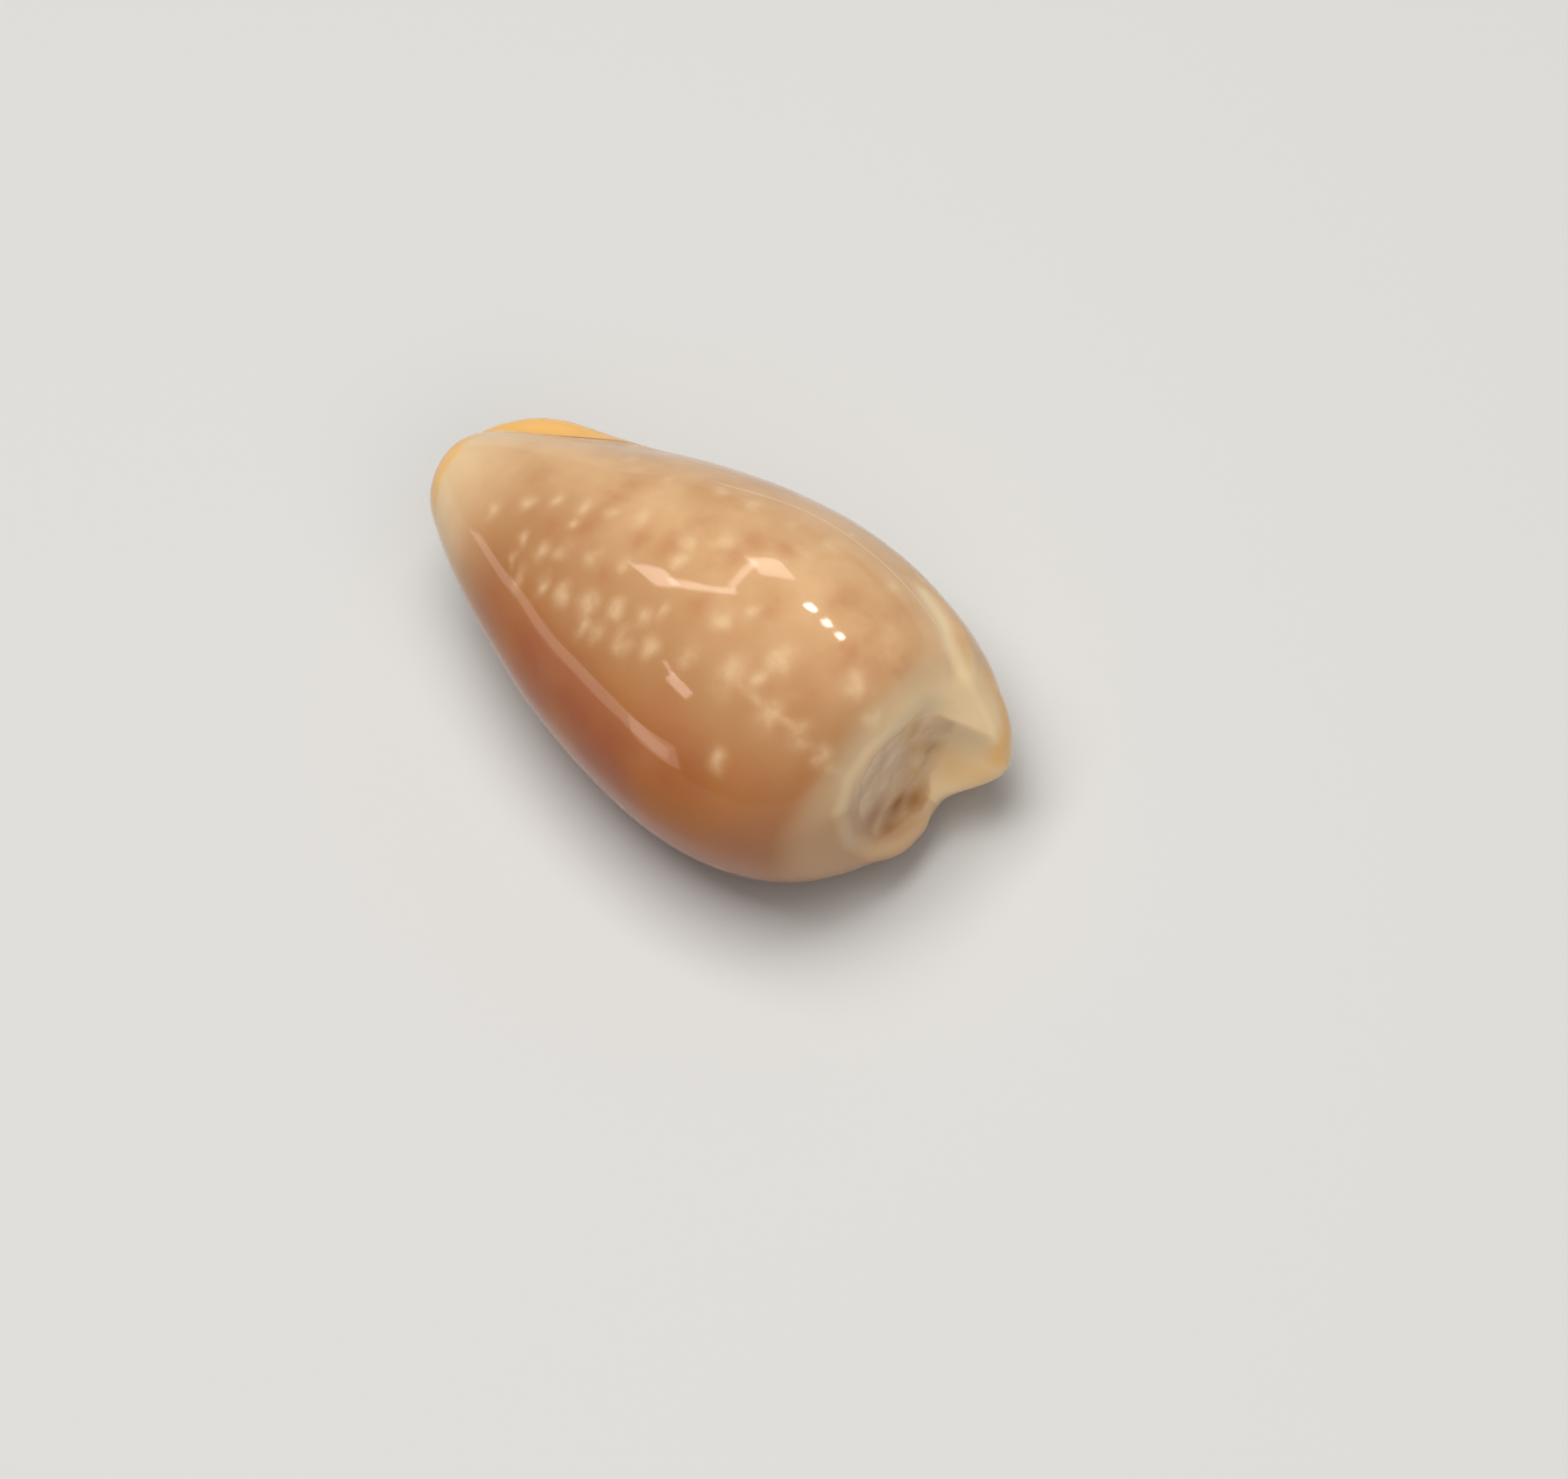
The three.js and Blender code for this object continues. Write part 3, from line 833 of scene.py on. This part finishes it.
def spire_patch(points, station_x, outside, tree, offset):
    """The early whorls under the glaze, and a pale spiral winding out from their tip, partly painted glints.
    """
    outline = np.array([seen_through(pixel, tree, offset) for pixel in SPIRE_PATCH])[:, 1:]
    inner = inside_outline(points[:, 1:], outline)
    patch = ease((inner + PATCH_EDGE / 2) / PATCH_EDGE) * (station_x > PATCH_FROM) * outside
    tip = seen_through(SPIRE_TIP, tree, offset)[1:]
    y, z = (points[:, 1:] - tip).T
    turn = np.hypot(y, z) / SPIRE_TURN_GAP - np.arctan2(z, y) / (2 * np.pi)
    return patch, bell(turn % 1 - 0.5, TURN_AND_GLINT_WIDTH)


def paint_masks(points, station_x, growth, layer, tree, offset):
    """Where each colour lies on the shell, one value from 0 to 1 for each point."""
    loose = wobbled(points)
    outside = 1 - layer
    spots = near_spots(loose, SPOTS, tree, offset, SPOT_SPREAD)
    for place, radius in hidden_spots(points, station_x, growth, layer):
        spots = np.maximum(spots, soft_spot(loose, place, radius))
    streak = STREAK_COVER * near_path(loose, PALE_STREAK, STREAK_WIDTH, tree, offset)
    cream, orange = lip_colours(points, station_x, growth, outside, tree, offset)
    lip_side = (growth < LIP_SIDE) * outside
    patch, turns = spire_patch(points, station_x, outside, tree, offset)
    toward_spire = 1 - AMBER_AND_SHADE_SIDE.part * comes(station_x, AMBER_AND_SHADE_SIDE.goes)
    return {
        "spots": np.maximum(spots, streak),
        "blotches": near_spots(loose, BLOTCHES, tree, offset, BLOTCH_SPREAD),
        "cream": cream * (1 - patch),
        "orange": orange * (1 - (1 - ORANGE_UNDER_PATCH) * patch),
        "strip": lip_side * goes(station_x, STRIP_FADES),
        # Painted shadow of the crease beside the lip strip
        "seam": lip_side * fades(station_x, CREASE_SHADOW_REACH),
        # Painted highlight along the varix
        "line": lip_side * fades(station_x, LIP_HIGHLIGHT_REACH),
        # Brown and amber of the lower side: partly the shell's deeper colour, partly painted shade
        "brown": lower_side(station_x, growth, BROWN_AND_SHADE_SIDE) * outside,
        "amber": lower_side(station_x, growth, AMBER_AND_SHADE_SIDE) * toward_spire * outside,
        "spire": patch,
        # Pale spiral on the spire, partly painted glints
        "turns": turns,
        "rosy": near_spots(points, ROSY_SPIRE, tree, offset),
        "tip": near_spots(points, (SPIRE_TIP + (TIP_RADIUS,),), tree, offset),
    }


def store_masks(shell, masks, station_x, growth):
    for name, values in masks.items():
        layer = shell.data.attributes.new(name, "FLOAT", "POINT")
        layer.data.foreach_set("value", np.clip(values, 0, 1).astype(np.float32))
    angle = growth + all_along(LIP_ANGLE, station_x)
    past_strip = angle - all_along(STRIP_EDGE, station_x)
    # Angle past the painted highlight along the varix
    past_highlight = angle - all_along(LIP_HIGHLIGHT_LINE, station_x)
    flat = np.zeros(len(growth))
    store_vector(shell, "grown", (growth, station_x, flat))
    store_vector(shell, "past", (past_strip, past_highlight, flat))


def store_vector(shell, name, columns):
    layer = shell.data.attributes.new(name, "FLOAT_VECTOR", "POINT")
    layer.data.foreach_set("vector", np.column_stack(columns).astype(np.float32).ravel())


class Nodes:
    """Short calls that add shader nodes to one material."""

    def __init__(self, name):
        self.material = bpy.data.materials.new(name)
        self.material.use_nodes = True
        self.tree = self.material.node_tree
        self.shader = self.tree.nodes["Principled BSDF"]

    def link(self, source, target):
        self.tree.links.new(source, target)

    def mask(self, name):
        node = self.tree.nodes.new("ShaderNodeAttribute")
        node.attribute_name = name
        return node.outputs["Fac"]

    def vector(self, name):
        node = self.tree.nodes.new("ShaderNodeAttribute")
        node.attribute_name = name
        return node.outputs["Vector"]

    def scaled(self, vector, scale):
        node = self.tree.nodes.new("ShaderNodeMapping")
        node.inputs["Scale"].default_value = scale
        self.link(vector, node.inputs["Vector"])
        return node.outputs["Vector"]

    def noise(self, vector, form, faintest=0.0):
        """Noise spread to run from its faintest value to 1."""
        scale, detail, roughness, low, high = form
        node = self.tree.nodes.new("ShaderNodeTexNoise")
        node.inputs["Scale"].default_value = scale
        node.inputs["Detail"].default_value = detail
        node.inputs["Roughness"].default_value = roughness
        self.link(vector, node.inputs["Vector"])
        return self.remap(node.outputs["Fac"], low, high, faintest)

    def remap(self, value, low, high, to_low=0.0, to_high=1.0):
        node = self.tree.nodes.new("ShaderNodeMapRange")
        for name, number in (("From Min", low), ("From Max", high), ("To Min", to_low), ("To Max", to_high)):
            node.inputs[name].default_value = number
        self.link(value, node.inputs["Value"])
        return node.outputs["Result"]

    def times(self, a, b):
        node = self.tree.nodes.new("ShaderNodeMath")
        node.operation = "MULTIPLY"
        for socket, value in zip(node.inputs, (a, b)):
            if isinstance(value, (int, float)):
                socket.default_value = value
            else:
                self.link(value, socket)
        return node.outputs["Value"]

    def part(self, vector, name):
        node = self.tree.nodes.new("ShaderNodeSeparateXYZ")
        self.link(vector, node.inputs["Vector"])
        return node.outputs[name]

    def line(self, value, form):
        """1 where the value is within half the line's width of its middle, and 0 elsewhere."""
        at, width = form
        node = self.tree.nodes.new("ShaderNodeMath")
        node.operation = "COMPARE"
        node.inputs[1].default_value = at
        node.inputs[2].default_value = width
        self.link(value, node.inputs[0])
        return node.outputs["Value"]

    def mix(self, amount, under, over):
        node = self.tree.nodes.new("ShaderNodeMix")
        node.data_type = "RGBA"
        self.link(amount, node.inputs["Factor"])
        for socket, colour in ((node.inputs["A"], under), (node.inputs["B"], over)):
            if isinstance(colour, tuple):
                socket.default_value = (*colour, 1)
            else:
                self.link(colour, socket)
        return node.outputs["Result"]


def ground_colour(n, place, grown):
    """Tan ground with soft mottling and fine growth lines, brown and amber below, partly painted shade."""
    base = n.mix(n.noise(place, CLOUDS), TAN, DARK_TAN)
    lines = n.noise(n.scaled(grown, LINE_STRETCH), GROWTH_LINES)
    base = n.mix(n.times(lines, COVER.growth_lines), base, GROWTH_LINE)
    base = n.mix(n.times(n.noise(place, MOTTLING), COVER.pale_tan), base, PALE_TAN)
    # Brown and amber below: partly the shell's deeper colour, partly painted shade
    base = n.mix(n.times(n.mask("brown"), COVER.brown), base, BROWN_AND_SHADE)
    amber = n.mix(n.noise(place, AMBER_CLOUDS), AMBER_AND_SHADE, RED_AMBER_AND_SHADE)
    return n.mix(n.times(n.mask("amber"), COVER.amber), base, amber)


def marked_colour(n, place, base):
    """Brown patches and cream spots, then the cream and orange of the lip and the callus."""
    blotches = n.times(n.mask("blotches"), n.noise(place, BLOTCH_GRAIN))
    base = n.mix(n.times(blotches, COVER.blotches), base, RED_BROWN)
    spots = n.times(n.mask("spots"), n.noise(place, SPOT_GRAIN, FAINTEST_SPOT))
    base = n.mix(n.times(spots, COVER.spots), base, SPOT_CREAM)
    base = n.mix(n.mask("cream"), base, CREAM)
    return n.mix(n.mask("orange"), base, ORANGE)


def lip_lines(n, base):
    """The strip of the turned lip, a painted shadow of the crease beside it and a painted highlight, a pale
    line along the varix.
    """
    past = n.vector("past")
    past_strip = n.part(past, "X")
    strip = n.times(n.mask("strip"), n.remap(past_strip, -STRIP_SOFTNESS, STRIP_SOFTNESS, 1, 0))
    pale = n.remap(past_strip, STRIP_PALES.start, STRIP_PALES.end, STRIP_PALES.part, 0)
    base = n.mix(strip, base, n.mix(pale, STRIP_ORANGE, STRIP_CREAM))
    # Painted shadow of the crease beside the strip
    seam = n.times(n.mask("seam"), n.line(past_strip, CREASE_SHADOW))
    base = n.mix(n.times(seam, COVER.seam), base, CREASE_SHADOW_BROWN)
    # Painted highlight: a pale line along the varix
    line = n.times(n.mask("line"), n.line(n.part(past, "Y"), HIGHLIGHT_LINE))
    return n.mix(n.times(line, COVER.line), base, HIGHLIGHT_CREAM)


def spire_colour(n, place):
    """Early whorls under the glaze: grey, rosy below, with a pale spiral, partly painted glints, round a
    brown tip.
    """
    clouds = n.noise(place, SPIRE_CLOUDS)
    # Pale spiral round the tip, partly painted glints
    turns = n.times(n.mask("turns"), clouds)
    disc = n.mix(clouds, SPIRE_GREY, PALE_SPIRE_GREY)
    disc = n.mix(n.times(turns, COVER.turns), disc, TURN_AND_GLINT_CREAM)
    disc = n.mix(n.mask("rosy"), disc, ROSY)
    return n.mix(n.mask("tip"), disc, TIP_BROWN)


def add_ripples(n, grown):
    bump = n.tree.nodes.new("ShaderNodeBump")
    bump.inputs["Strength"].default_value = RIPPLE.strength
    bump.inputs["Distance"].default_value = RIPPLE.height * MM
    n.link(n.noise(n.scaled(grown, RIPPLE_STRETCH), RIPPLES), bump.inputs["Height"])
    n.link(bump.outputs["Normal"], n.shader.inputs["Normal"])


def shell_material():
    n = Nodes("glossy shell")
    place = n.tree.nodes.new("ShaderNodeTexCoord").outputs["Object"]
    grown = n.vector("grown")
    base = ground_colour(n, place, grown)
    base = marked_colour(n, place, base)
    base = lip_lines(n, base)
    base = n.mix(n.mask("spire"), base, spire_colour(n, place))
    n.link(base, n.shader.inputs["Base Color"])
    n.shader.inputs["Roughness"].default_value = GLOSS.roughness
    n.shader.inputs["IOR"].default_value = GLOSS.ior
    n.shader.inputs["Subsurface Weight"].default_value = GLOW.weight
    n.shader.inputs["Subsurface Radius"].default_value = GLOW.spread
    n.shader.inputs["Subsurface Scale"].default_value = MM
    add_ripples(n, grown)
    return n.material


def make_shell(points, faces):
    mesh = bpy.data.meshes.new("shell_skin")
    mesh.from_pydata((points * MM).tolist(), [], faces)
    mesh.shade_smooth()
    shell = bpy.data.objects.new("shell_skin", mesh)
    bpy.context.collection.objects.link(shell)
    return shell


def make_floor():
    bpy.ops.mesh.primitive_plane_add(size=FLOOR_SIZE)
    floor = bpy.context.object
    floor.name = "floor"
    material = bpy.data.materials.new("pale floor")
    material.use_nodes = True
    shader = material.node_tree.nodes["Principled BSDF"]
    shader.inputs["Base Color"].default_value = (*FLOOR_COLOUR, 1)
    shader.inputs["Roughness"].default_value = FLOOR_ROUGHNESS
    floor.data.materials.append(material)


def direction(azimuth, elevation):
    """Unit vector toward a compass direction and height, in degrees."""
    turn = math.radians(azimuth)
    rise = math.radians(elevation)
    return Vector((math.cos(turn) * math.cos(rise), math.sin(turn) * math.cos(rise), math.sin(rise)))


def area_light(name, azimuth, elevation, distance, size, roll, power):
    toward = direction(azimuth, elevation)
    turned = (-toward).to_track_quat("-Z", "Y").to_matrix() @ Matrix.Rotation(math.radians(roll), 3, "Z")
    data = bpy.data.lights.new(name, "AREA")
    data.shape = "RECTANGLE"
    data.size, data.size_y = size
    data.energy = power
    light = bpy.data.objects.new(name, data)
    light.matrix_world = Matrix.Translation(SHELL_MIDDLE + distance * toward) @ turned.to_4x4()
    light.visible_camera = False
    bpy.context.collection.objects.link(light)
    return light


def make_lights():
    for form in SOFT_LIGHTS:
        area_light(*form).visible_glossy = False
    for form in MIRRORED_LIGHTS:
        light = area_light(*form)
        light.data.color = WARM_PINK
        light.visible_diffuse = False


def make_world():
    world = bpy.data.worlds.new("studio")
    world.use_nodes = True
    background = world.node_tree.nodes["Background"]
    background.inputs["Color"].default_value = (*WHITE, 1)
    background.inputs["Strength"].default_value = WORLD_LIGHT
    bpy.context.scene.world = world
    bpy.context.scene.view_settings.view_transform = "Standard"


skin, skin_faces = swept_skin()
offset = model_offset(skin[:, :3])
skin_points = skin[:, :3] + offset
station_x, growth, layer = skin[:, 3:].T
tree = BVHTree.FromPolygons(skin_points.tolist(), skin_faces)
masks = paint_masks(skin_points, station_x, growth, layer, tree, offset)
shell = make_shell(skin_points, skin_faces)
store_masks(shell, masks, station_x, growth)
shell.data.materials.append(shell_material())
make_camera(offset)
make_world()
make_floor()
make_lights()

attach(shell, "root")
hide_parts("shell")
